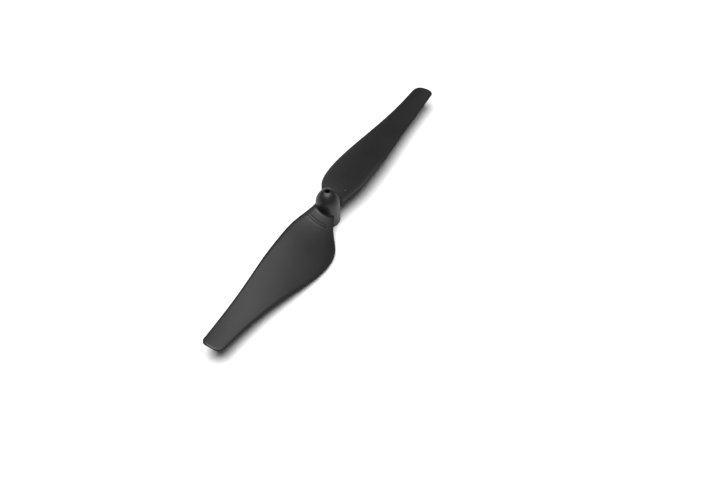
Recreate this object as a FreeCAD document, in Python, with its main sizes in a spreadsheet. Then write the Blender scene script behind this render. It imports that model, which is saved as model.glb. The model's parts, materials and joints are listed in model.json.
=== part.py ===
"""Two-blade press-on propeller for a small drone, in millimetres.

The hub stands on the XY plane with its axis on Z, and the blades reach out along +X and -X.
Seen from above it turns clockwise: each blade's leading edge is its high edge, on the -Y side
of the blade that points along +X.

A blade is lofted through flat sections that stand across its length. Each section is set by
its chord, its pitch (how far the trailing edge drops), the place of its leading edge, its
thickness and its camber.
"""

import FreeCAD
import Part
import Sketcher
import math
import os

V = FreeCAD.Vector
ORIGIN_POINT = (-1, 1)
H_AXIS = -1
START, END, CENTRE = 1, 2, 3

# Driving dimensions, in millimetres and degrees.
SIZES = {
    # whole propeller
    "propeller_dia": 76.2,
    # hub: a domed cap with a hollow skirt, its height taken at the rim of the hole in the dome
    "hub_dia": 4.6,
    "hub_height": 7.7,
    "flank_excess": 1.1,
    "crown_shortfall": 0.45,
    "skirt_wall": 0.6,
    "foot_round": 0.25,
    "roof_cover": 2.5,
    "rib_thickness": 0.5,
    "rib_lift": 0.9,
    # sleeve and the hole for the motor shaft, which runs on through the dome
    "sleeve_dia": 2.0,
    "sleeve_cover": 1.1,
    "sleeve_lift": 0.3,
    "shaft_hole_dia": 0.98,
    "lead_in": 0.2,
    # blade root: a tongue that fills a slot in the skirt
    "root_inset": 0.2,
    "root_reach": 0.8,
    "root_shortfall": 0.5,
    "tongue_width": 1.3,
    "tongue_height": 0.5,
    "tongue_gap": 0.02,
    "tongue_bite": 0.6,
    # blade edges and tip
    "lead_edge_radius": 0.2,
    "trail_edge_radius": 0.16,
    "tip_lead_round": 1.2,
    "tip_trail_round": 1.4,
    "tip_margin": 0.04,
    # raised ring marks on one blade
    "ring_1_radius": 4.15,
    "ring_2_radius": 4.7,
    "ring_width": 0.22,
    "ring_rise": 0.05,
    "ring_sweep": 50.0,
}

# What the blade is like where it changes, from inside the hub outwards: place along the blade
# as a share of the tip radius, chord, pitch, leading-edge place across the blade and height.
BLADE_KEYS = [
    (0.02, 4.1, 16.0, -2.1, 4.05),
    (0.09, 6.1, 20.5, -2.6, 4.1),
    (0.17, 9.2, 21.0, -3.3, 4.15),
    (0.27, 10.4, 19.5, -3.6, 4.2),
    (0.43, 9.3, 16.5, -3.6, 4.1),
    (0.64, 6.5, 12.0, -3.15, 3.85),
    (0.85, 4.75, 7.5, -2.95, 3.7),
    (1.0, 4.1, 4.5, -2.9, 3.8),
]
ROOT_THICKNESS, TIP_THICKNESS = 0.95, 0.5
CAMBER_PER_CHORD = 0.027
FREE_SECTIONS = 11
FIRST_FREE_SHARE = 0.08
SECTION_CROWDING = 1.25
STATION_KEYS = ("share", "chord", "pitch", "lead", "rise", "thickness", "camber")


def smooth_curve(places, values):
    """A natural cubic spline through the values, as a function of place."""
    count = len(places)
    step = [places[i + 1] - places[i] for i in range(count - 1)]
    rise = [(values[i + 1] - values[i]) / step[i] for i in range(count - 1)]
    bend, carry = [0.0] * count, [0.0] * count
    for i in range(1, count - 1):
        pivot = 2 * (step[i - 1] + step[i]) - step[i - 1] * carry[i - 1]
        carry[i] = step[i] / pivot
        bend[i] = (6 * (rise[i] - rise[i - 1]) - step[i - 1] * bend[i - 1]) / pivot
    for i in range(count - 2, 0, -1):
        bend[i] -= carry[i] * bend[i + 1]

    def at(place):
        i = 0
        while i < count - 2 and place > places[i + 1]:
            i += 1
        ahead, behind = places[i + 1] - place, place - places[i]
        return (
            (bend[i] * ahead**3 + bend[i + 1] * behind**3) / (6 * step[i])
            + (values[i] / step[i] - bend[i] * step[i] / 6) * ahead
            + (values[i + 1] / step[i] - bend[i + 1] * step[i] / 6) * behind
        )

    return at


def thickness_at(share):
    """The blade thins evenly from the hub's axis to the tip."""
    return ROOT_THICKNESS + (TIP_THICKNESS - ROOT_THICKNESS) * share


def blade_stations():
    """The loft's sections, crowded towards the hub. The first hides in the hub.

    The first section's place and chord are zero here, because they follow the hub instead.
    """
    shares, *columns = zip(*BLADE_KEYS)
    curves = [smooth_curve(shares, column) for column in columns]
    _, chord, pitch, _, rise = BLADE_KEYS[0]
    camber = CAMBER_PER_CHORD * chord
    stations = [(0.0, 0.0, pitch, 0.0, rise, ROOT_THICKNESS, camber)]
    for i in range(FREE_SECTIONS):
        run = (i / (FREE_SECTIONS - 1)) ** SECTION_CROWDING
        share = FIRST_FREE_SHARE + (1 - FIRST_FREE_SHARE) * run
        shape = [curve(share) for curve in curves]
        camber = CAMBER_PER_CHORD * shape[0]
        station = (share, *shape, thickness_at(share), camber)
        stations.append(tuple(round(value, 4) for value in station))
    return stations


STATIONS = blade_stations()


def fill_sheet(doc):
    """Writes the driving dimensions into the sheet, one aliased cell each."""
    sheet = doc.addObject("Spreadsheet::Sheet", "Sizes")
    cells = dict(SIZES)
    for number, station in enumerate(STATIONS):
        for key, value in zip(STATION_KEYS, station):
            cells[f"{key}_{number}"] = value
    for row, (name, value) in enumerate(cells.items(), start=1):
        sheet.set(f"A{row}", name)
        sheet.set(f"B{row}", str(value))
        sheet.setAlias(f"B{row}", name)
    doc.recompute()
    return sheet


def new_body(doc, label):
    body = doc.addObject("PartDesign::Body", label)
    body.Label = label
    return body


def origin_feature(body, role):
    return next(f for f in body.Origin.OriginFeatures if f.Role == role)


def new_sketch(body, name, plane):
    """An empty sketch on one of the body's own origin planes."""
    sketch = body.newObject("Sketcher::SketchObject", name)
    sketch.AttachmentSupport = (origin_feature(body, plane), [""])
    sketch.MapMode = "FlatFace"
    return sketch


def bind(target, path, expression):
    """Ties a property to the sheet; a bare name in braces stands for its cell."""
    target.setExpression(path, expression.replace("{", "Sizes.").replace("}", ""))


def drawn_size(sketch, kind, geometry):
    """The size a dimension has as drawn, so that adding it moves nothing."""
    if kind == "Diameter":
        return sketch.Geometry[geometry[0]].Radius * 2
    step = sketch.getPoint(*geometry[2:]) - sketch.getPoint(*geometry[:2])
    return step.x if kind == "DistanceX" else step.y


def size_constraint(sketch, kind, geometry, expression):
    """Adds a dimension between the given sketch points and ties it to the sheet."""
    size = drawn_size(sketch, kind, geometry)
    index = sketch.addConstraint(Sketcher.Constraint(kind, *geometry, size))
    bind(sketch, f"Constraints[{index}]", expression)


def place_point(sketch, edge, end, across, up):
    """Holds one end of an edge at a place measured from the sketch's origin.

    A place of None on either side lies on that axis of the sketch.
    """
    for kind, expression in (("DistanceX", across), ("DistanceY", up)):
        if expression is None:
            on_axis = "Vertical" if kind == "DistanceX" else "Horizontal"
            sketch.addConstraint(Sketcher.Constraint(on_axis, edge, end, *ORIGIN_POINT))
        else:
            size_constraint(sketch, kind, (*ORIGIN_POINT, edge, end), expression)


def add_polygon(sketch, corners, rough):
    """A closed outline of straight lines; corners are pairs of sheet expressions.

    rough holds near coordinates that only start the solver on the right side.
    """
    count = len(corners)
    for i in range(count):
        a, b = rough[i], rough[(i + 1) % count]
        sketch.addGeometry(Part.LineSegment(V(*a, 0), V(*b, 0)))
    for i in range(count):
        sketch.addConstraint(
            Sketcher.Constraint("Coincident", i, END, (i + 1) % count, START)
        )
    for i, (across, up) in enumerate(corners):
        place_point(sketch, i, START, across, up)


def add_circle(sketch, diameter, rough_radius):
    """A circle on the sketch's origin, its diameter tied to the sheet."""
    circle = sketch.addGeometry(Part.Circle(V(0, 0, 0), V(0, 0, 1), rough_radius))
    sketch.addConstraint(
        Sketcher.Constraint("Coincident", circle, CENTRE, *ORIGIN_POINT)
    )
    size_constraint(sketch, "Diameter", (circle,), diameter)


def through_pocket(body, name, sketch):
    """Cuts a sketch right through the body, both ways."""
    pocket = body.newObject("PartDesign::Pocket", name)
    pocket.Profile = sketch
    pocket.Type = "ThroughAll"
    pocket.Midplane = True
    return pocket


def revolve(body, name, sketch):
    turned = body.newObject("PartDesign::Revolution", name)
    turned.Profile = sketch
    turned.ReferenceAxis = (sketch, ["V_Axis"])
    turned.Angle = 360.0
    return turned


# ---------------------------------------------------------------- hub


def hub_profile(body):
    """Half section of the cap: dome, skirt with a rounded foot, and the hollow under it.

    The dome is two arcs that run smoothly into each other: a flank that leaves the skirt
    upright, wider than the hub's own radius by the flank excess, and a crown round the axis,
    tighter than it by the crown shortfall, which ends at the rim of the shaft hole.
    """
    radius = SIZES["hub_dia"] / 2
    inner = radius - SIZES["skirt_wall"]
    hole = SIZES["shaft_hole_dia"] / 2
    roof = SIZES["hub_height"] - SIZES["roof_cover"]
    foot = SIZES["foot_round"]
    excess, shortfall = SIZES["flank_excess"], SIZES["crown_shortfall"]
    flank_radius, crown_radius = radius + excess, radius - shortfall
    join_angle = math.acos(excess / (excess + shortfall))
    crown_lift = (excess + shortfall) * math.sin(join_angle)
    hole_angle = math.acos(hole / crown_radius)
    crown = SIZES["hub_height"] - crown_radius * math.sin(hole_angle)
    spring = crown - crown_lift
    crown_span = "({hub_dia} / 2 - {crown_shortfall})"
    centre_span = "({flank_excess} + {crown_shortfall})"
    crown_height = f"{{hub_height}} - sqrt({crown_span}^2 - ({{shaft_hole_dia}} / 2)^2)"
    spring_height = f"{crown_height} - sqrt({centre_span}^2 - {{flank_excess}}^2)"
    roof_height = "{hub_height} - {roof_cover}"

    sketch = new_sketch(body, "cap_profile", "XZ_Plane")
    lines = [
        ((hole, roof), (hole, SIZES["hub_height"])),
        ((radius, spring), (radius, foot)),
        ((radius - foot, 0), (inner, 0)),
        ((inner, 0), (inner, roof)),
        ((inner, roof), (hole, roof)),
    ]
    for a, b in lines:
        sketch.addGeometry(Part.LineSegment(V(*a, 0), V(*b, 0)))
    bore, side, base, wall, ceiling = range(5)
    rounds = [
        ((-excess, spring), flank_radius, 0, join_angle),
        ((0, crown), crown_radius, join_angle, hole_angle),
        ((radius - foot, foot), foot, -math.pi / 2, 0),
    ]
    for centre, size, first, last in rounds:
        circle = Part.Circle(V(*centre, 0), V(0, 0, 1), size)
        sketch.addGeometry(Part.ArcOfCircle(circle, first, last))
    flank, top, foot_arc = range(5, 8)
    joins = [
        (bore, END, top, END),
        (top, START, flank, END),
        (flank, START, side, START),
        (side, END, foot_arc, END),
        (foot_arc, START, base, START),
        (base, END, wall, START),
        (wall, END, ceiling, START),
        (ceiling, END, bore, START),
    ]
    for join in joins:
        sketch.addConstraint(Sketcher.Constraint("Coincident", *join))
    place_point(sketch, top, CENTRE, None, crown_height)
    place_point(sketch, flank, CENTRE, "-{flank_excess}", spring_height)
    place_point(sketch, side, START, "{hub_dia} / 2", spring_height)
    place_point(sketch, side, END, "{hub_dia} / 2", "{foot_round}")
    place_point(sketch, base, START, "{hub_dia} / 2 - {foot_round}", None)
    place_point(sketch, wall, START, "{hub_dia} / 2 - {skirt_wall}", None)
    place_point(sketch, wall, END, "{hub_dia} / 2 - {skirt_wall}", roof_height)
    place_point(sketch, bore, START, "{shaft_hole_dia} / 2", roof_height)
    for end, place in (
        ((foot_arc, CENTRE), "{hub_dia} / 2 - {foot_round}"),
        ((flank, END), f"{crown_span} * {{flank_excess}} / {centre_span}"),
        ((bore, END), "{shaft_hole_dia} / 2"),
    ):
        size_constraint(sketch, "DistanceX", (*ORIGIN_POINT, *end), place)
    return sketch


def add_rib(body):
    """A bar across the hollow; the sleeve's seat later leaves one rib on each side."""
    half = SIZES["rib_thickness"] / 2
    reach = SIZES["hub_dia"] / 2 - SIZES["skirt_wall"] / 2
    sketch = new_sketch(body, "rib_outline", "XY_Plane")
    bind(sketch, "AttachmentOffset.Base.z", "{rib_lift}")
    side, end = "{rib_thickness} / 2", "({hub_dia} - {skirt_wall}) / 2"
    corners = [
        (f"-{side}", f"-{end}"),
        (side, f"-{end}"),
        (side, end),
        (f"-{side}", end),
    ]
    rough = [(-half, -reach), (half, -reach), (half, reach), (-half, reach)]
    add_polygon(sketch, corners, rough)
    rib = body.newObject("PartDesign::Pad", "rib")
    rib.Profile = sketch
    bind(rib, "Length", "{hub_height} - {roof_cover} - {rib_lift} + {skirt_wall} / 2")
    return rib


def tongue_sketch(body, name, reach, gap):
    """Rectangle of the blade's tongue, across the blade and tilted like its root section."""
    sketch = new_sketch(body, name, "YZ_Plane")
    chord = "({hub_dia} - {root_shortfall})"
    lead = "({root_inset} - {hub_dia} / 2)"
    bind(sketch, "AttachmentOffset.Base.z", reach)
    bind(
        sketch,
        "AttachmentOffset.Base.x",
        f"{lead} + {chord} / 2 * cos({{pitch_0}} * 1 deg)",
    )
    bind(
        sketch,
        "AttachmentOffset.Base.y",
        f"{{rise_0}} - {chord} / 2 * sin({{pitch_0}} * 1 deg)",
    )
    bind(sketch, "AttachmentOffset.Rotation.Angle", "-{pitch_0}")
    side = f"({{tongue_width}} / 2 + {gap})"
    top = f"({{tongue_height}} / 2 + {gap})"
    corners = [
        (f"-{side}", f"-{top}"),
        (side, f"-{top}"),
        (side, top),
        (f"-{side}", top),
    ]
    half, tall = SIZES["tongue_width"] / 2, SIZES["tongue_height"] / 2
    rough = [(-half, -tall), (half, -tall), (half, tall), (-half, tall)]
    add_polygon(sketch, corners, rough)
    return sketch


def make_hub_cap(doc):
    body = new_body(doc, "hub_cap")
    revolve(body, "cap", hub_profile(body))
    add_rib(body)

    seat_sketch = new_sketch(body, "sleeve_seat_outline", "XY_Plane")
    add_circle(seat_sketch, "{sleeve_dia}", SIZES["sleeve_dia"] / 2)
    seat = body.newObject("PartDesign::Pocket", "sleeve_seat")
    seat.Profile = seat_sketch
    seat.Reversed = True
    bind(seat, "Length", "{hub_height} - {sleeve_cover}")

    slot = body.newObject("PartDesign::Pocket", "blade_slot")
    slot.Profile = tongue_sketch(body, "blade_slot_outline", "0", "{tongue_gap}")
    slot.Reversed = True
    bind(slot, "Length", "{hub_dia}")
    doc.recompute()

    slots = body.newObject("PartDesign::PolarPattern", "blade_slots")
    slots.Originals = [slot]
    slots.Axis = (origin_feature(body, "Z_Axis"), [""])
    slots.Angle = 360.0
    slots.Occurrences = 2
    body.Tip = slots
    return body


def make_shaft_sleeve(doc):
    """Tube pressed up into the cap; it grips the motor's shaft over its whole length."""
    body = new_body(doc, "shaft_sleeve")
    outer, inner = SIZES["sleeve_dia"] / 2, SIZES["shaft_hole_dia"] / 2
    low, lead = SIZES["sleeve_lift"], SIZES["lead_in"]
    high = SIZES["hub_height"] - SIZES["sleeve_cover"]
    top = "{hub_height} - {sleeve_cover}"
    sketch = new_sketch(body, "sleeve_profile", "XZ_Plane")
    corners = [
        ("{shaft_hole_dia} / 2", "{sleeve_lift} + {lead_in}"),
        ("{shaft_hole_dia} / 2 + {lead_in}", "{sleeve_lift}"),
        ("{sleeve_dia} / 2", "{sleeve_lift}"),
        ("{sleeve_dia} / 2", top),
        ("{shaft_hole_dia} / 2", top),
    ]
    rough = [
        (inner, low + lead),
        (inner + lead, low),
        (outer, low),
        (outer, high),
        (inner, high),
    ]
    add_polygon(sketch, corners, rough)
    revolve(body, "sleeve", sketch)
    return body


# ---------------------------------------------------------------- blades


def section_frame(number):
    """Sheet expressions for a section's reach, chord and leading-edge place."""
    if number == 0:
        reach = "{root_reach}"
        chord = "({hub_dia} - {root_shortfall})"
        lead = "({root_inset} - {hub_dia} / 2)"
    else:
        reach = f"({{propeller_dia}} / 2 * {{share_{number}}})"
        chord = f"{{chord_{number}}}"
        lead = f"{{lead_{number}}}"
    return reach, chord, lead


def add_bow(sketch, start, middle, end):
    """A smooth curve between two points, pulled towards a middle pole it doesn't touch.

    Returns the curve and the circle that stands for its middle pole.
    """
    poles = [V(*start, 0), V(*middle, 0), V(*end, 0)]
    curve = Part.BSplineCurve()
    curve.buildFromPolesMultsKnots(poles, [3, 3], [0, 1], False, 2)
    bow = sketch.addGeometry(curve)
    markers = []
    for number, pole in enumerate(poles):
        marker = sketch.addGeometry(Part.Circle(pole, V(0, 0, 1), 1), True)
        sketch.addConstraint(
            Sketcher.Constraint(
                "InternalAlignment:Sketcher::BSplineControlPoint",
                marker,
                CENTRE,
                bow,
                number,
            )
        )
        sketch.addConstraint(Sketcher.Constraint("Weight", marker, 1.0))
        markers.append(marker)
    return bow, markers[1]


def add_round_edge(sketch, centre, radius, first_angle):
    """Half a circle that closes the section's front or back edge."""
    circle = Part.Circle(V(centre, 0, 0), V(0, 0, 1), radius)
    return sketch.addGeometry(
        Part.ArcOfCircle(circle, first_angle, first_angle + math.pi)
    )


def blade_section(body, number):
    """A thin cambered section with round edges, drawn along its own chord line."""
    reach, chord, lead = section_frame(number)
    sketch = new_sketch(body, f"section_{number}", "YZ_Plane")
    bind(sketch, "AttachmentOffset.Base.z", reach)
    bind(sketch, "AttachmentOffset.Base.x", lead)
    bind(sketch, "AttachmentOffset.Base.y", f"{{rise_{number}}}")
    bind(sketch, "AttachmentOffset.Rotation.Angle", f"-{{pitch_{number}}}")

    station = dict(zip(STATION_KEYS, STATIONS[number]))
    width = station["chord"] or SIZES["hub_dia"] - SIZES["root_shortfall"]
    nose, tail = SIZES["lead_edge_radius"], SIZES["trail_edge_radius"]
    half, camber = station["thickness"] / 2, station["camber"]
    over = 2 * (camber + half) - (nose + tail) / 2
    under = 2 * (camber - half) + (nose + tail) / 2
    upper, upper_pole = add_bow(
        sketch, (nose, nose), (width / 2, over), (width - tail, tail)
    )
    lower, lower_pole = add_bow(
        sketch, (nose, -nose), (width / 2, under), (width - tail, -tail)
    )
    front = add_round_edge(sketch, nose, nose, math.pi / 2)
    trail = add_round_edge(sketch, width - tail, tail, -math.pi / 2)
    joins = [
        (front, START, upper, START),
        (upper, END, trail, END),
        (trail, START, lower, END),
        (lower, START, front, END),
    ]
    for join in joins:
        sketch.addConstraint(Sketcher.Constraint("Coincident", *join))
    back = f"{chord} - {{trail_edge_radius}}"
    place_point(sketch, front, START, "{lead_edge_radius}", "{lead_edge_radius}")
    place_point(sketch, front, END, "{lead_edge_radius}", "-{lead_edge_radius}")
    place_point(sketch, trail, END, back, "{trail_edge_radius}")
    place_point(sketch, trail, START, back, "-{trail_edge_radius}")
    for edge, place in ((front, "{lead_edge_radius}"), (trail, back)):
        size_constraint(sketch, "DistanceX", (*ORIGIN_POINT, edge, CENTRE), place)
    # The curve's mid-point comes half way between its ends' mean height and its pole.
    edges = "({lead_edge_radius} + {trail_edge_radius}) / 2"
    crown = f"2 * ({{camber_{number}}} + {{thickness_{number}}} / 2) - {edges}"
    belly = f"2 * ({{camber_{number}}} - {{thickness_{number}}} / 2) + {edges}"
    place_point(sketch, upper_pole, CENTRE, f"{chord} / 2", crown)
    place_point(sketch, lower_pole, CENTRE, f"{chord} / 2", belly)
    return sketch


def tip_trim_sketch(body):
    """The ground to remove round the tip, so that its two corners come out round."""
    last = len(STATIONS) - 1
    pitch = f"cos({{pitch_{last}}} * 1 deg)"
    tip = "{propeller_dia} / 2"
    low = f"({{lead_{last}}} - {{tip_margin}})"
    high = f"({{lead_{last}}} + {{chord_{last}}} * {pitch} + {{tip_margin}})"
    before = f"{{lead_{last - 1}}} + {{chord_{last - 1}}} * cos({{pitch_{last - 1}}} * 1 deg)"
    run = f"({tip} * ({{share_{last}}} - {{share_{last - 1}}}))"
    slope = f"(({before} - {high}) / {run})"
    corner = f"({high} + {slope} * {{tip_trail_round}})"
    start = f"({tip} - {{tip_trail_round}} * 2)"
    beyond = f"({tip} + {{tip_trail_round}})"
    width = "{tip_trail_round}"

    tip_x = SIZES["propeller_dia"] / 2
    station = dict(zip(STATION_KEYS, STATIONS[last]))
    y_low, y_high = station["lead"], station["lead"] + station["chord"]
    lead_r, trail_r = SIZES["tip_lead_round"], SIZES["tip_trail_round"]
    x_start, x_far = tip_x - 2 * trail_r, tip_x + trail_r

    sketch = new_sketch(body, "tip_trim_outline", "XY_Plane")
    path = [
        ((x_start, y_low), (tip_x - lead_r, y_low)),
        ((tip_x, y_low + lead_r), (tip_x, y_high - trail_r)),
        ((tip_x - trail_r, y_high), (x_start, y_high)),
        ((x_start, y_high), (x_start, y_high + trail_r)),
        ((x_start, y_high + trail_r), (x_far, y_high + trail_r)),
        ((x_far, y_high + trail_r), (x_far, y_low - trail_r)),
        ((x_far, y_low - trail_r), (x_start, y_low - trail_r)),
        ((x_start, y_low - trail_r), (x_start, y_low)),
    ]
    for a, b in path:
        sketch.addGeometry(Part.LineSegment(V(*a, 0), V(*b, 0)))
    lead_arc = sketch.addGeometry(
        Part.ArcOfCircle(
            Part.Circle(V(tip_x - lead_r, y_low + lead_r, 0), V(0, 0, 1), lead_r),
            -math.pi / 2,
            0,
        )
    )
    trail_arc = sketch.addGeometry(
        Part.ArcOfCircle(
            Part.Circle(V(tip_x - trail_r, y_high - trail_r, 0), V(0, 0, 1), trail_r),
            0,
            math.pi / 2,
        )
    )
    joins = [
        (0, END, lead_arc, START),
        (lead_arc, END, 1, START),
        (1, END, trail_arc, START),
        (trail_arc, END, 2, START),
    ]
    joins += [(i, END, i + 1, START) for i in range(2, 7)]
    joins.append((7, END, 0, START))
    for join in joins:
        sketch.addConstraint(Sketcher.Constraint("Coincident", *join))
    place_point(sketch, 0, START, start, low)
    place_point(sketch, 0, END, f"{tip} - {{tip_lead_round}}", low)
    place_point(sketch, 1, START, tip, f"{low} + {{tip_lead_round}}")
    place_point(sketch, 1, END, tip, f"{corner} - {{tip_trail_round}}")
    place_point(sketch, 2, START, f"{tip} - {{tip_trail_round}}", corner)
    place_point(sketch, 2, END, start, f"{corner} + {slope} * {{tip_trail_round}}")
    place_point(sketch, 4, START, start, f"{high} + {width}")
    place_point(sketch, 5, START, beyond, f"{high} + {width}")
    place_point(sketch, 6, START, beyond, f"{low} - {width}")
    place_point(sketch, 7, START, start, f"{low} - {width}")
    for arc, place in (
        (lead_arc, "{tip_lead_round}"),
        (trail_arc, "{tip_trail_round}"),
    ):
        size_constraint(
            sketch, "DistanceX", (*ORIGIN_POINT, arc, CENTRE), f"{tip} - {place}"
        )
    return sketch


def boolean(doc, kind, name, base, tool):
    """A Cut, Common or Fuse of two shapes."""
    result = doc.addObject(f"Part::{kind}", name)
    result.Base = base
    result.Tool = tool
    return result


def ring_band(doc, number):
    """A thin upright wall in an arc about the hub, where one ring mark goes."""
    drums = []
    for side, sign in (("outer", "+"), ("inner", "-")):
        drum = doc.addObject("Part::Cylinder", f"ring_{number}_{side}")
        bind(drum, "Radius", f"{{ring_{number}_radius}} {sign} {{ring_width}} / 2")
        bind(drum, "Height", "{hub_height}")
        drums.append(drum)
    outer, inner = drums
    bind(outer, "Angle", "{ring_sweep}")
    bind(outer, "Placement.Rotation.Angle", "-{ring_sweep} / 2")
    return boolean(doc, "Cut", f"ring_{number}_band", outer, inner)


def add_ring_marks(doc, blank):
    """Two low ridges in arcs on the blade's upper face, with tops that follow the face.

    What the band shares with the same blade set higher stands up by the ridge's height.
    """
    raised = doc.addObject("App::Link", "raised_blade")
    raised.LinkedObject = blank
    bind(raised, "Placement.Base.z", "{ring_rise}")
    blade = blank
    for number in (1, 2):
        band = ring_band(doc, number)
        ridge = boolean(doc, "Common", f"ring_{number}_ridge", band, raised)
        blade = boolean(doc, "Fuse", f"ring_{number}_mark", blade, ridge)
    return blade


def make_blade(doc, name):
    """One blade along +X: a lofted aerofoil seated on the hub, with a tongue into its skirt."""
    body = new_body(doc, name)
    sections = [blade_section(body, number) for number in range(len(STATIONS))]
    loft = body.newObject("PartDesign::AdditiveLoft", "aerofoil")
    loft.Profile = sections[0]
    loft.Sections = [(section, [""]) for section in sections[1:]]
    doc.recompute()

    seat_sketch = new_sketch(body, "hub_seat_outline", "XY_Plane")
    add_circle(seat_sketch, "{hub_dia}", SIZES["hub_dia"] / 2)
    through_pocket(body, "hub_seat", seat_sketch)
    through_pocket(body, "tip_trim", tip_trim_sketch(body))
    doc.recompute()

    tongue = body.newObject("PartDesign::Pad", "tongue")
    start = "{sleeve_dia} / 4"
    tongue.Profile = tongue_sketch(body, "tongue_outline", start, "0")
    bind(tongue, "Length", f"{{hub_dia}} / 2 + {{tongue_bite}} - {start}")
    end_sketch = new_sketch(body, "tongue_end_outline", "XY_Plane")
    add_circle(end_sketch, "{sleeve_dia}", SIZES["sleeve_dia"] / 2)
    body.Tip = through_pocket(body, "tongue_end", end_sketch)
    doc.recompute()
    return body


def make_blades(doc):
    """The ring-marked blade on +X and the plain one turned half round to face it."""
    marked = add_ring_marks(doc, make_blade(doc, "marked_blade_blank"))
    marked.Label = "marked_blade"
    plain = make_blade(doc, "plain_blade")
    plain.Placement = FreeCAD.Placement(V(0, 0, 0), FreeCAD.Rotation(V(0, 0, 1), 180))
    return marked, plain


# ---------------------------------------------------------------- whole part


def check(doc, bodies):
    """Stops the build if any feature failed or any piece isn't a sound solid."""
    for item in doc.Objects:
        bad = [word for word in item.State if word in ("Invalid", "Error")]
        if bad:
            raise RuntimeError(f"{item.Label} is {bad}")
    for body in bodies:
        shape = body.Shape
        if shape.isNull() or not shape.isValid() or len(shape.Solids) != 1:
            raise RuntimeError(f"{body.Label} isn't one valid solid")
        box = shape.BoundBox
        size = f"{box.XLength:.2f} x {box.YLength:.2f} x {box.ZLength:.2f}"
        print(f"{body.Label}: {size} mm, {shape.Volume:.2f} mm3, low {box.ZMin:.2f}")


def main():
    doc = FreeCAD.newDocument("propeller")
    fill_sheet(doc)
    bodies = [
        make_hub_cap(doc),
        make_shaft_sleeve(doc),
        *make_blades(doc),
    ]
    doc.recompute()
    check(doc, bodies)
    os.makedirs("parts", exist_ok=True)
    for body in bodies:
        body.Shape.exportStep(f"parts/{body.Label}.step")


main()
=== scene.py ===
"""Looks for a small two-blade press-on propeller moulded in black plastic.

Each blade is a smooth cambered sheet built row by row. A row is an arc about the hub's axis, so
that the root meets the hub all round and the ring marks run true. The hub and its sleeve are
turned shapes. Sizes that the frame doesn't give are in millimetres; MM turns them into metres.
"""

import json
import math

import bmesh
import bpy
from mathutils import Matrix, Vector

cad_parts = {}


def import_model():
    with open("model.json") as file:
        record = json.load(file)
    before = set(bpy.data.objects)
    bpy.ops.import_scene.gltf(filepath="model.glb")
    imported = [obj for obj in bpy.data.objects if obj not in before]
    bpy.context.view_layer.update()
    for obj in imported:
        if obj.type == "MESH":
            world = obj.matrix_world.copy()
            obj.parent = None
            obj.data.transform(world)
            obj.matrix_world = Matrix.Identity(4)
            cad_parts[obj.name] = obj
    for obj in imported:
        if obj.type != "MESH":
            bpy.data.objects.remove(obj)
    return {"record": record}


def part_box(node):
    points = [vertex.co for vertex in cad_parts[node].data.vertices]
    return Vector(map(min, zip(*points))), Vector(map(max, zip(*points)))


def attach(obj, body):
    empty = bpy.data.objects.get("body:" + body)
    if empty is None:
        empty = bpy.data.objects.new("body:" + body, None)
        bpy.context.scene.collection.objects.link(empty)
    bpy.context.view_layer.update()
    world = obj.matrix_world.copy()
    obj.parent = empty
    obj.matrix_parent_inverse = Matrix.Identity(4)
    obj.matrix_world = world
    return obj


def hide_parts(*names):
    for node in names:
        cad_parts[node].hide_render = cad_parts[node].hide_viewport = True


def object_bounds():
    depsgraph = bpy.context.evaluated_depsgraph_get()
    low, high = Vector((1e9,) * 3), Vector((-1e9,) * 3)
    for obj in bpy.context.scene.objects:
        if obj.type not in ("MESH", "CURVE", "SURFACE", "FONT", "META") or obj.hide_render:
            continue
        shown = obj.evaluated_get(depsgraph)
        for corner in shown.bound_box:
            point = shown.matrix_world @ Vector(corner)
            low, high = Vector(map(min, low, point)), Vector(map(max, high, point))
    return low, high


MM = 0.001

# ------------------------------------------------------------------ sizes, in millimetres

# What the blade is like where it changes, from inside the hub outwards: place along the blade
# as a share of the tip radius, chord, pitch, leading-edge place across the blade and height.
BLADE_KEYS = [
    (0.02, 4.1, 16.0, -2.1, 4.05),
    (0.09, 6.1, 20.5, -2.6, 4.1),
    (0.17, 9.2, 21.0, -3.3, 4.15),
    (0.27, 10.4, 19.5, -3.6, 4.2),
    (0.43, 9.3, 16.5, -3.6, 4.1),
    (0.64, 6.5, 12.0, -3.15, 3.85),
    (0.85, 4.75, 7.5, -2.95, 3.7),
    (1.0, 4.1, 4.5, -2.9, 3.8),
]
ROOT_THICKNESS, TIP_THICKNESS = 0.95, 0.5
CAMBER_PER_CHORD = 0.027
LEAD_SHARE, TRAIL_SHARE = 0.85, 0.60
LEAD_RUN, LEAD_DROP = 0.50, 0.25
LEAD_RUN_EXTRA, LEAD_RUN_REACH = 1.0, 20.0
TRAIL_RUN, TRAIL_DROP = 0.40, 0.10
TIP_RUN, TIP_DROP = 0.40, 0.10
UPPER_CORNER = 0.04
LOWER_CORNER = 0.15
TIP_LEAD_CORNER = 1.2
TIP_TRAIL_CORNER = 1.4
ROOT_RUN, ROOT_RISE = 0.50, 0.22
ROOT_DEPTH = 0.3

RING_RADII = (4.15, 4.7)
RING_HALF_WIDTH = 0.17
RING_RISE = 0.08
RING_REACH = math.radians(25)
RING_FADE = math.radians(1.5)

TONGUE_WIDTH = 1.3
TONGUE_HEIGHT = 0.5
TONGUE_IN_SLEEVE = 0.75
TONGUE_IN_BLADE = 0.2

FLANK_EXCESS = 1.1
CROWN_SHORTFALL = 0.45
HOLE_RIM = 0.04
FOOT_ROUND = 0.25
SKIRT_WALL = 0.6
ROOF_COVER = 2.5
RIB_HALF = 0.25
RIB_FOOT = 0.9
SMALL_ROUND = 0.06
SLEEVE_MOUTH = 0.2

GATE_PLACE = (4.93, -0.96)
GATE_RADIUS = 0.32
GATE_HEIGHT = 0.14

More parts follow.
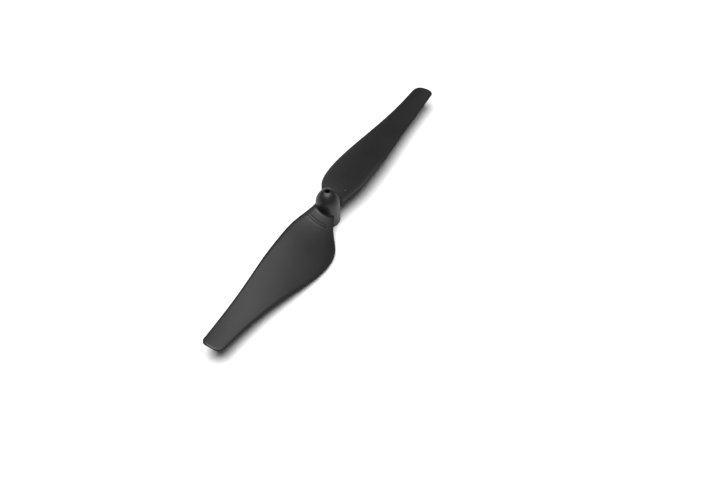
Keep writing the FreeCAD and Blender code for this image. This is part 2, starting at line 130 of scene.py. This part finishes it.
CAMERA_AZIMUTH, CAMERA_ELEVATION = 119.2, 48.5
CAMERA_DISTANCE = 226.2
CAMERA_AIM = (0.4, 7.1, -1.6)

# How the plastic's finish varies: shares of its colour, and changes in roughness. The side share is
# painted shade on steep sides, not finish.
BLACK = (0.008, 0.008, 0.0085)
MOTTLE_SHARE = 1.25
# Painted shade: steep sides are darkened to this share of the colour.
SIDE_SHADE_SHARE = 0.25
SMEAR_SHINE = 0.05
SCUFF_ROUGHENING = 0.08
SIDE_ROUGHENING = 0.5
GRAIN_DEPTH = 0.02

# ------------------------------------------------------------------ smooth curves


def smooth_curve(places, values):
    """A natural cubic spline through the values, as a function of place."""
    count = len(places)
    step = [places[i + 1] - places[i] for i in range(count - 1)]
    rise = [(values[i + 1] - values[i]) / step[i] for i in range(count - 1)]
    bend, carry = [0.0] * count, [0.0] * count
    for i in range(1, count - 1):
        pivot = 2 * (step[i - 1] + step[i]) - step[i - 1] * carry[i - 1]
        carry[i] = step[i] / pivot
        bend[i] = (6 * (rise[i] - rise[i - 1]) - step[i - 1] * bend[i - 1]) / pivot
    for i in range(count - 2, 0, -1):
        bend[i] -= carry[i] * bend[i + 1]

    def at(place):
        i = 0
        while i < count - 2 and place > places[i + 1]:
            i += 1
        ahead, behind = places[i + 1] - place, place - places[i]
        return (
            (bend[i] * ahead**3 + bend[i + 1] * behind**3) / (6 * step[i])
            + (values[i] / step[i] - bend[i] * step[i] / 6) * ahead
            + (values[i + 1] / step[i] - bend[i + 1] * step[i] / 6) * behind
        )

    return at


def eased(count, start, end):
    """Places from start to end, close together at both ends."""
    return [
        start + (end - start) * (1 - math.cos(math.pi * i / count)) / 2
        for i in range(count + 1)
    ]


def spread(count, start, end):
    return [start + (end - start) * i / count for i in range(count + 1)]


def quarter_round(distance, radius):
    """Height of a quarter round, 0 at its edge and 1 from one radius inwards."""
    if distance >= radius:
        return 1.0
    return math.sqrt(max(0.0, 1 - (1 - distance / radius) ** 2))


def rolled_off(distance, run, drop):
    """Drop at an edge that eases away to nothing within the run."""
    return drop * max(0.0, 1 - distance / run) ** 2


# ------------------------------------------------------------------ mesh helpers


def mesh_piece(name, bm, material):
    """Turns a bmesh in millimetres into an object in metres, smooth but for real corners."""
    bmesh.ops.remove_doubles(bm, verts=bm.verts, dist=0.0005)
    bmesh.ops.recalc_face_normals(bm, faces=bm.faces)
    bmesh.ops.scale(bm, vec=(MM, MM, MM), verts=bm.verts)
    mesh = bpy.data.meshes.new(name)
    bm.to_mesh(mesh)
    bm.free()
    mesh.polygons.foreach_set("use_smooth", [True] * len(mesh.polygons))
    mesh.set_sharp_from_angle(angle=math.radians(50))
    mesh.materials.append(material)
    piece = bpy.data.objects.new(name, mesh)
    bpy.context.scene.collection.objects.link(piece)
    return piece


def join_rows(bm, rows, closed):
    """Faces between neighbouring rows of vertices; closed joins each row's ends too."""
    count = len(rows[0])
    last = count if closed else count - 1
    for low, high in zip(rows, rows[1:]):
        for i in range(last):
            j = (i + 1) % count
            bm.faces.new((low[i], low[j], high[j], high[i]))


def lathe(bm, profile, segments):
    """A closed turned ring from a closed profile of (radius, height) points."""
    rows = []
    for k in range(segments):
        turn = 2 * math.pi * k / segments
        rows.append(
            [
                bm.verts.new((r * math.cos(turn), r * math.sin(turn), z))
                for r, z in profile
            ]
        )
    rows.append(rows[0])
    join_rows(bm, rows, closed=True)


def arc(centre, radius, start, end, count):
    """Points along a round in a profile, angles in degrees from the outward direction."""
    points = []
    for angle in spread(count, math.radians(start), math.radians(end)):
        points.append(
            (
                centre[0] + radius * math.cos(angle),
                centre[1] + radius * math.sin(angle),
            )
        )
    return points


def rounded_bar(bm, low, high, radius):
    """A box with rounded edges, as its own closed shell."""
    size = Vector(high) - Vector(low)
    middle = (Vector(high) + Vector(low)) / 2
    made = bmesh.ops.create_cube(bm, size=1.0)
    bmesh.ops.scale(bm, vec=size, verts=made["verts"])
    bmesh.ops.translate(bm, vec=middle, verts=made["verts"])
    edges = list({edge for vert in made["verts"] for edge in vert.link_edges})
    bmesh.ops.bevel(
        bm, geom=edges, offset=radius, segments=3, profile=0.5, affect="EDGES"
    )


# ------------------------------------------------------------------ blade


class BladeShape:
    """The blade's surface in millimetres, for the blade that points along +X."""

    def __init__(self, tip, hub_radius, marked):
        self.tip = tip
        self.hub_radius = hub_radius
        self.marked = marked
        places = [share * tip for share, *_ in BLADE_KEYS]
        columns = list(zip(*BLADE_KEYS))[1:]
        curves = [smooth_curve(places, column) for column in columns]
        self.chord, self.pitch, self.lead, self.rise = curves

    def thick(self, x):
        return ROOT_THICKNESS + (TIP_THICKNESS - ROOT_THICKNESS) * x / self.tip

    def camber(self, x):
        return CAMBER_PER_CHORD * self.chord(x)

    def rim(self, x):
        """Where the leading and trailing edges lie across the blade, tip corners rounded."""
        span = self.chord(x) * math.cos(math.radians(self.pitch(x)))
        lead = self.lead(x)
        trail = lead + span
        lead += self.corner_pull(x, TIP_LEAD_CORNER)
        trail -= self.corner_pull(x, TIP_TRAIL_CORNER)
        return lead, trail

    def corner_pull(self, x, radius):
        beyond = x - (self.tip - radius)
        if beyond <= 0:
            return 0.0
        return radius - math.sqrt(max(0.0, radius**2 - min(beyond, radius) ** 2))

    def plan_point(self, reach, share):
        """The point on a row, seen from above, at a share of the way from lead to trail."""
        y = 0.0
        for _ in range(30):
            x = math.sqrt(max(reach**2 - y**2, 0.0))
            lead, trail = self.rim(x)
            y = (y + lead + share * (trail - lead)) / 2
        return math.sqrt(max(reach**2 - y**2, 0.0)), y

    def height(self, x, y, upper):
        """Surface height at a point, on the upper or the lower side."""
        lead, trail = self.rim(x)
        plain_lead = self.lead(x)
        slope = math.tan(math.radians(self.pitch(x)))
        chord_line = self.rise(x) - (y - plain_lead) * slope
        across = self.chord(x) * math.cos(math.radians(self.pitch(x)))
        share = min(max((y - plain_lead) / across, 0.0), 1.0)
        crown = 4 * share * (1 - share)
        half = self.thick(x) / 2
        edge_share = LEAD_SHARE + (TRAIL_SHARE - LEAD_SHARE) * share
        body = half * (edge_share + (1 - edge_share) * crown)
        body += self.root_flare(math.hypot(x, y))
        from_lead, from_trail = max(y - lead, 0.0), max(trail - y, 0.0)
        from_tip = max(self.tip - math.hypot(x, y), 0.0)
        if upper:
            body -= rolled_off(from_lead, self.lead_run(x), LEAD_DROP)
            body -= rolled_off(from_trail, TRAIL_RUN, TRAIL_DROP)
            body -= rolled_off(from_tip, TIP_RUN, TIP_DROP)
            body += self.ring_rise(x, y)
        corner = UPPER_CORNER if upper else LOWER_CORNER
        for distance in (from_lead, from_trail, from_tip):
            body *= quarter_round(distance, corner)
        middle = chord_line + self.camber(x) * crown
        return middle + body if upper else middle - body

    def lead_run(self, x):
        """How far back the leading edge rolls off, widest by the hub."""
        inboard = min(max(1 - x / LEAD_RUN_REACH, 0.0), 1.0)
        return LEAD_RUN + LEAD_RUN_EXTRA * inboard

    def root_flare(self, reach):
        """Extra half thickness where the blade slopes up to meet the hub."""
        return rolled_off(max(reach - self.hub_radius, 0.0), ROOT_RUN, ROOT_RISE)

    def ring_rise(self, x, y):
        """How far the low ridges of the ring marks stand up from the upper side."""
        if not self.marked:
            return 0.0
        reach, turn = math.hypot(x, y), abs(math.atan2(y, x))
        fade = min(max((RING_REACH - turn) / RING_FADE, 0.0), 1.0)
        rise = 0.0
        for radius in RING_RADII:
            off = abs(reach - radius) / RING_HALF_WIDTH
            if off < 1:
                rise = RING_RISE * fade * (1 - off**2) ** 2
        return rise

    def row_reaches(self):
        """Radii of the rows, close together at the fillet, the ring marks and the tip."""
        hub = self.hub_radius
        reaches = spread(8, hub, hub + ROOT_RUN)
        reaches += spread(8, reaches[-1], RING_RADII[0] - RING_HALF_WIDTH)[1:]
        reaches += spread(40, reaches[-1], RING_RADII[1] + RING_HALF_WIDTH)[1:]
        reaches += spread(100, reaches[-1], self.tip - TIP_TRAIL_CORNER)[1:]
        reaches += spread(12, reaches[-1], self.tip - TIP_RUN)[1:]
        tip_rows = eased(32, self.tip - 2 * TIP_RUN, self.tip)[16:]
        return reaches + tip_rows[1:]

    def row_shares(self):
        """Places across a row, close together at both edges."""
        return eased(64, 0.0, 1.0)


def blade_row(bm, shape, reach):
    """One closed ring of vertices: over the top from lead to trail, and back underneath."""
    points = []
    shares = shape.row_shares()
    for share in shares:
        x, y = shape.plan_point(reach, share)
        points.append((x, y, shape.height(x, y, upper=True)))
    for share in reversed(shares[1:-1]):
        x, y = shape.plan_point(reach, share)
        points.append((x, y, shape.height(x, y, upper=False)))
    return [bm.verts.new(point) for point in points]


def close_row(bm, row):
    """Fills a blade's end with faces between its upper and lower sides."""
    count = len(row)
    half = count // 2
    for i in range(half):
        j = (count - i) % count
        loop = [row[i], row[i + 1], row[count - i - 1], row[j]]
        bm.faces.new(list(dict.fromkeys(loop)))


def blade_mesh(shape):
    bm = bmesh.new()
    rows = [blade_row(bm, shape, reach) for reach in shape.row_reaches()]
    pull = (shape.hub_radius - ROOT_DEPTH) / shape.hub_radius
    root = [
        bm.verts.new((v.co.x * pull, v.co.y * pull, v.co.z)) for v in rows[0]
    ]
    rows.insert(0, root)
    join_rows(bm, rows, closed=True)
    close_row(bm, rows[0])
    close_row(bm, rows[-1])
    return bm


def add_tongue(bm, sleeve_radius, hub_radius):
    """The tongue that runs from the middle of the blade's root through the skirt to the sleeve."""
    _, chord, pitch, lead, rise = BLADE_KEYS[0]
    side = lead + chord / 2 * math.cos(math.radians(pitch))
    middle = rise - chord / 2 * math.sin(math.radians(pitch))
    start = sleeve_radius * TONGUE_IN_SLEEVE
    low = (start, side - TONGUE_WIDTH / 2, middle - TONGUE_HEIGHT / 2)
    high = (hub_radius + TONGUE_IN_BLADE, side + TONGUE_WIDTH / 2, middle + TONGUE_HEIGHT / 2)
    rounded_bar(bm, low, high, SMALL_ROUND)


def make_blade(name, node, sizes, marked, turn, material):
    shape = BladeShape(sizes["tip"], sizes["hub_radius"], marked)
    bm = blade_mesh(shape)
    add_tongue(bm, sizes["sleeve_radius"], sizes["hub_radius"])
    bmesh.ops.rotate(
        bm, cent=(0, 0, 0), matrix=turn_matrix(turn), verts=bm.verts
    )
    piece = mesh_piece(name, bm, material)
    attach(piece, "root")
    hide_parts(node)
    return shape


def turn_matrix(degrees):
    return Matrix.Rotation(math.radians(degrees), 3, "Z")


def make_gate_mark(shape, material):
    """The low pip left on the plain blade where the plastic entered the mould."""
    x, y = GATE_PLACE
    bm = bmesh.new()
    bmesh.ops.create_uvsphere(bm, u_segments=32, v_segments=16, radius=1.0)
    bmesh.ops.scale(bm, vec=(GATE_RADIUS, GATE_RADIUS, GATE_HEIGHT), verts=bm.verts)
    top = shape.height(x, y, upper=True)
    bmesh.ops.translate(bm, vec=(x, y, top), verts=bm.verts)
    bmesh.ops.rotate(bm, cent=(0, 0, 0), matrix=turn_matrix(180), verts=bm.verts)
    piece = mesh_piece("gate_mark", bm, material)
    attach(piece, "root")


# ------------------------------------------------------------------ hub and sleeve


def hub_profile(sizes):
    """Closed half section of the hub, from the dome's hole round the outside to the seat."""
    radius, hole = sizes["hub_radius"], sizes["shaft_radius"]
    inner = radius - SKIRT_WALL
    roof = sizes["hub_top"] - ROOF_COVER
    crown_radius, flank_radius = radius - CROWN_SHORTFALL, radius + FLANK_EXCESS
    join_angle = math.acos(FLANK_EXCESS / (FLANK_EXCESS + CROWN_SHORTFALL))
    crown = sizes["hub_top"] - math.sqrt(crown_radius**2 - hole**2)
    spring = crown - (FLANK_EXCESS + CROWN_SHORTFALL) * math.sin(join_angle)
    rim_angle = math.acos((hole + HOLE_RIM) / crown_radius)
    rim_height = crown + crown_radius * math.sin(rim_angle)
    profile = arc((hole + HOLE_RIM, rim_height - HOLE_RIM), HOLE_RIM, 180, 100, 6)
    profile += arc(
        (0, crown), crown_radius, math.degrees(rim_angle), math.degrees(join_angle), 24
    )
    profile += arc((-FLANK_EXCESS, spring), flank_radius, math.degrees(join_angle), 0, 24)[1:]
    profile += [(radius, z) for z in spread(12, spring, FOOT_ROUND)[1:-1]]
    profile += arc((radius - FOOT_ROUND, FOOT_ROUND), FOOT_ROUND, 0, -90, 8)
    profile += arc((inner + SMALL_ROUND, SMALL_ROUND), SMALL_ROUND, 270, 180, 4)
    profile += [(inner, roof)]
    profile += [(sizes["sleeve_radius"], roof)]
    profile += [(sizes["sleeve_radius"], sizes["sleeve_top"])]
    profile += [(hole, sizes["sleeve_top"])]
    return profile


def make_hub(sizes, material):
    bm = bmesh.new()
    lathe(bm, hub_profile(sizes), 128)
    inner = sizes["hub_radius"] - SKIRT_WALL / 2
    roof = sizes["hub_top"] - ROOF_COVER
    for side in (-1, 1):
        near, far = sorted((side * sizes["sleeve_radius"], side * inner))
        low = (-RIB_HALF, near, RIB_FOOT)
        high = (RIB_HALF, far, roof + SKIRT_WALL / 2)
        rounded_bar(bm, low, high, SMALL_ROUND)
    piece = mesh_piece("hub", bm, material)
    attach(piece, "root")
    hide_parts("hub_cap")


def make_sleeve(sizes, material):
    """The boss that grips the motor's shaft, its mouth opened out to guide the shaft in."""
    outer, bore = sizes["sleeve_radius"], sizes["shaft_radius"]
    low, high = sizes["sleeve_foot"], sizes["sleeve_top"]
    profile = [(bore, low + SLEEVE_MOUTH), (bore + SLEEVE_MOUTH, low)]
    profile += arc((outer - SMALL_ROUND, low + SMALL_ROUND), SMALL_ROUND, -90, 0, 4)
    profile += [(outer, z) for z in spread(8, low + SMALL_ROUND, high)[1:]]
    profile += [(bore, z) for z in spread(8, high, low + SLEEVE_MOUTH)[:-1]]
    bm = bmesh.new()
    lathe(bm, profile, 96)
    piece = mesh_piece("sleeve", bm, material)
    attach(piece, "root")
    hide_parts("shaft_sleeve")


# ------------------------------------------------------------------ materials


def new_group(name, inputs, outputs):
    group = bpy.data.node_groups.new(name, "ShaderNodeTree")
    for label, default in inputs:
        socket = group.interface.new_socket(
            label, in_out="INPUT", socket_type="NodeSocketFloat"
        )
        socket.default_value = default
    for label in outputs:
        group.interface.new_socket(
            label, in_out="OUTPUT", socket_type="NodeSocketFloat"
        )
    return (
        group,
        group.nodes.new("NodeGroupInput"),
        group.nodes.new("NodeGroupOutput"),
    )


def add_node(tree, kind, **settings):
    node = tree.nodes.new(kind)
    for key, value in settings.items():
        if hasattr(node, key):
            setattr(node, key, value)
        else:
            node.inputs[key.replace("_", " ")].default_value = value
    return node


def surface_noise(tree, scale, detail):
    """Noise fixed to the piece, at a scale given per metre."""
    place = add_node(tree, "ShaderNodeTexCoord")
    noise = add_node(tree, "ShaderNodeTexNoise", Detail=detail)
    noise.inputs["Scale"].default_value = scale
    tree.links.new(place.outputs["Object"], noise.inputs["Vector"])
    return noise


def ranged(tree, source, low, high, to_low, to_high):
    """Maps a stretch of a value onto another, and stops at its ends."""
    node = add_node(tree, "ShaderNodeMapRange")
    for label, value in (
        ("From Min", low),
        ("From Max", high),
        ("To Min", to_low),
        ("To Max", to_high),
    ):
        node.inputs[label].default_value = value
    tree.links.new(source, node.inputs["Value"])
    return node.outputs["Result"]


def moulded_skin_group():
    """Fine spark-eroded grain of the mould, and the slow unevenness of the cooled skin."""
    group, given, result = new_group(
        "moulded_skin", [("Grain", 1.0), ("Flow", 1.0)], ["Height", "Mottle"]
    )
    grain = surface_noise(group, 14000, 3)
    flow = surface_noise(group, 420, 2)
    grain_part = add_node(group, "ShaderNodeMath", operation="MULTIPLY")
    flow_part = add_node(group, "ShaderNodeMath", operation="MULTIPLY")
    height = add_node(group, "ShaderNodeMath", operation="ADD")
    group.links.new(grain.outputs["Fac"], grain_part.inputs[0])
    group.links.new(given.outputs["Grain"], grain_part.inputs[1])
    group.links.new(flow.outputs["Fac"], flow_part.inputs[0])
    group.links.new(given.outputs["Flow"], flow_part.inputs[1])
    group.links.new(grain_part.outputs[0], height.inputs[0])
    group.links.new(flow_part.outputs[0], height.inputs[1])
    group.links.new(height.outputs[0], result.inputs["Height"])
    group.links.new(flow.outputs["Fac"], result.inputs["Mottle"])
    return group


def handling_and_side_shade_group():
    """Cloudy smears and fine scuffs, and a mask of the narrow steep sides where the mould's halves
    meet, which makes them rougher and carries painted shade that darkens them.
    """
    group, given, result = new_group(
        "handling_and_side_shade", [("Amount", 1.0), ("Sides", 1.0)], ["Smear", "Scuff", "Side"]
    )
    smear = surface_noise(group, 160, 4)
    smear_mask = ranged(group, smear.outputs["Fac"], 0.45, 0.7, 0.0, 1.0)
    place = add_node(group, "ShaderNodeTexCoord")
    stretch = add_node(group, "ShaderNodeMapping")
    stretch.inputs["Rotation"].default_value = (0.0, 0.0, math.radians(17))
    stretch.inputs["Scale"].default_value = (350.0, 9000.0, 2500.0)
    scuff = add_node(group, "ShaderNodeTexNoise", Detail=2.0)
    scuff.inputs["Scale"].default_value = 1.0
    group.links.new(place.outputs["Object"], stretch.inputs["Vector"])
    group.links.new(stretch.outputs["Vector"], scuff.inputs["Vector"])
    scuff_mask = ranged(group, scuff.outputs["Fac"], 0.66, 0.76, 0.0, 1.0)
    geometry = add_node(group, "ShaderNodeNewGeometry")
    facing = add_node(group, "ShaderNodeSeparateXYZ")
    upright = add_node(group, "ShaderNodeMath", operation="ABSOLUTE")
    group.links.new(geometry.outputs["True Normal"], facing.inputs[0])
    group.links.new(facing.outputs["Z"], upright.inputs[0])
    # Steep sides: made rougher, and darkened with painted shade in the material.
    side_roughness_and_shade_mask = ranged(group, upright.outputs[0], 0.85, 0.67, 0.0, 1.0)
    for label, mask, amount in (
        ("Smear", smear_mask, "Amount"),
        ("Scuff", scuff_mask, "Amount"),
        ("Side", side_roughness_and_shade_mask, "Sides"),
    ):
        part = add_node(group, "ShaderNodeMath", operation="MULTIPLY")
        group.links.new(mask, part.inputs[0])
        group.links.new(given.outputs[amount], part.inputs[1])
        group.links.new(part.outputs[0], result.inputs[label])
    return group


def mixed_colour(tree, mask, first, second):
    node = add_node(tree, "ShaderNodeMix", data_type="RGBA")
    node.inputs["A"].default_value = (*first, 1.0)
    node.inputs["B"].default_value = (*second, 1.0)
    tree.links.new(mask, node.inputs["Factor"])
    return node


def place_group(tree, group, **values):
    node = add_node(tree, "ShaderNodeGroup")
    node.node_tree = group
    for label, value in values.items():
        node.inputs[label].default_value = value
    return node


def black_plastic(name, groups, colour, roughness, grain, bump, sides):
    """Moulded black plastic: colour, roughness and grain all vary over the surface.

    Sides says how far the narrow, steep sides of the piece are rougher, and darker with painted
    shade.
    """
    material = bpy.data.materials.new(name)
    material.use_nodes = True
    tree = material.node_tree
    shader = tree.nodes["Principled BSDF"]
    shader.inputs["IOR"].default_value = 1.45
    skin = place_group(tree, groups["skin"], Grain=grain, Flow=0.35)
    handling_and_side_shade = place_group(tree, groups["handling_and_side_shade"], Amount=1.0, Sides=sides)

    base = mixed_colour(
        tree, skin.outputs["Mottle"], colour, [c * MOTTLE_SHARE for c in colour]
    )
    # Painted shade: the steep sides' colour is darkened, for the dark outline along the blade's
    # edges.
    painted_side_shade = add_node(tree, "ShaderNodeMix", data_type="RGBA")
    painted_side_shade.inputs["B"].default_value = (*[c * SIDE_SHADE_SHARE for c in colour], 1.0)
    tree.links.new(handling_and_side_shade.outputs["Side"], painted_side_shade.inputs["Factor"])
    tree.links.new(base.outputs["Result"], painted_side_shade.inputs["A"])
    tree.links.new(painted_side_shade.outputs["Result"], shader.inputs["Base Color"])

    smear = ranged(
        tree, handling_and_side_shade.outputs["Smear"], 0.0, 1.0, roughness, roughness - SMEAR_SHINE
    )
    scuffed = add_node(tree, "ShaderNodeMath", operation="MULTIPLY_ADD")
    scuffed.inputs[1].default_value = SCUFF_ROUGHENING
    tree.links.new(handling_and_side_shade.outputs["Scuff"], scuffed.inputs[0])
    tree.links.new(smear, scuffed.inputs[2])
    rougher = add_node(tree, "ShaderNodeMath", operation="MULTIPLY_ADD")
    rougher.inputs[1].default_value = SIDE_ROUGHENING
    tree.links.new(handling_and_side_shade.outputs["Side"], rougher.inputs[0])
    tree.links.new(scuffed.outputs[0], rougher.inputs[2])
    tree.links.new(rougher.outputs[0], shader.inputs["Roughness"])

    relief = add_node(tree, "ShaderNodeBump")
    relief.inputs["Strength"].default_value = bump
    relief.inputs["Distance"].default_value = GRAIN_DEPTH * MM
    tree.links.new(skin.outputs["Height"], relief.inputs["Height"])
    tree.links.new(relief.outputs["Normal"], shader.inputs["Normal"])
    return material


def floor_material():
    material = bpy.data.materials.new("pale_floor")
    material.use_nodes = True
    shader = material.node_tree.nodes["Principled BSDF"]
    shader.inputs["Base Color"].default_value = (0.93, 0.93, 0.93, 1.0)
    shader.inputs["Roughness"].default_value = 0.9
    shader.inputs["Specular IOR Level"].default_value = 0.1
    return material


# ------------------------------------------------------------------ stage


def make_floor(height):
    bm = bmesh.new()
    bmesh.ops.create_grid(bm, x_segments=1, y_segments=1, size=1500)
    bmesh.ops.translate(bm, vec=(0, 0, height / MM), verts=bm.verts)
    mesh_piece("floor", bm, floor_material())


def make_light(name, place, width, power):
    """A round softbox that faces straight down; place and width are in metres."""
    lamp = bpy.data.lights.new(name, "AREA")
    lamp.shape = "DISK"
    lamp.size = width
    lamp.energy = power
    light = bpy.data.objects.new(name, lamp)
    light.location = place
    bpy.context.scene.collection.objects.link(light)


def make_lights():
    """A round softbox over the part, in a dim room."""
    make_light("softbox", (0.05, -0.01, 0.42), 0.48, 3.4)
    world = bpy.data.worlds.new("room")
    world.use_nodes = True
    backdrop = world.node_tree.nodes["Background"]
    backdrop.inputs["Color"].default_value = (1.0, 1.0, 1.0, 1.0)
    backdrop.inputs["Strength"].default_value = 0.07
    bpy.context.scene.world = world


def make_camera():
    """Looks down on the hub from beyond the marked blade's trailing side."""
    azimuth, elevation = math.radians(CAMERA_AZIMUTH), math.radians(CAMERA_ELEVATION)
    distance = CAMERA_DISTANCE * MM
    aim = Vector(CAMERA_AIM) * MM
    away = Vector(
        (
            math.sin(azimuth) * math.cos(elevation),
            -math.cos(azimuth) * math.cos(elevation),
            math.sin(elevation),
        )
    )
    lens = bpy.data.cameras.new("camera")
    lens.lens = 60.1
    lens.sensor_width = 36.0
    lens.clip_start = 0.01
    camera = bpy.data.objects.new("camera", lens)
    camera.location = aim + away * distance
    camera.rotation_euler = (-away).to_track_quat("-Z", "Y").to_euler()
    bpy.context.scene.collection.objects.link(camera)
    bpy.context.scene.camera = camera


# ------------------------------------------------------------------ whole scene


def frame_sizes(frame):
    """Sizes in millimetres, read from the frame's nodes and mounts."""
    hub_low, hub_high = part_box("hub_cap")
    blade_low, blade_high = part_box("marked_blade")
    sleeve_low, sleeve_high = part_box("shaft_sleeve")
    mounts = {mount["name"]: mount for mount in frame["record"]["mounts"]}
    return {
        "tip": blade_high[0] / MM,
        "hub_radius": hub_high[0] / MM,
        "hub_top": hub_high[2] / MM,
        "sleeve_radius": sleeve_high[0] / MM,
        "sleeve_foot": sleeve_low[2] / MM,
        "sleeve_top": sleeve_high[2] / MM,
        "shaft_radius": mounts["shaft_bore"]["dims"]["r_mm"],
    }


def main():
    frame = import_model()
    cad_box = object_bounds()
    sizes = frame_sizes(frame)
    bpy.context.scene.view_settings.view_transform = "Standard"

    groups = {"skin": moulded_skin_group(), "handling_and_side_shade": handling_and_side_shade_group()}
    blade = black_plastic(
        "blade_plastic", groups, BLACK, roughness=0.43, grain=1.0, bump=0.5, sides=1.0
    )
    hub = black_plastic(
        "hub_plastic", groups, BLACK, roughness=0.43, grain=0.5, bump=0.3, sides=0.0
    )
    sleeve = black_plastic(
        "sleeve_plastic", groups, (0.008, 0.008, 0.008), roughness=0.5, grain=1.0, bump=0.4,
        sides=0.0,
    )

    make_blade("blade_with_rings", "marked_blade", sizes, True, 0, blade)
    plain = make_blade("blade_plain", "plain_blade", sizes, False, 180, blade)
    make_gate_mark(plain, blade)
    make_hub(sizes, hub)
    make_sleeve(sizes, sleeve)

    make_floor(cad_box[0][2])
    make_lights()
    make_camera()


main()
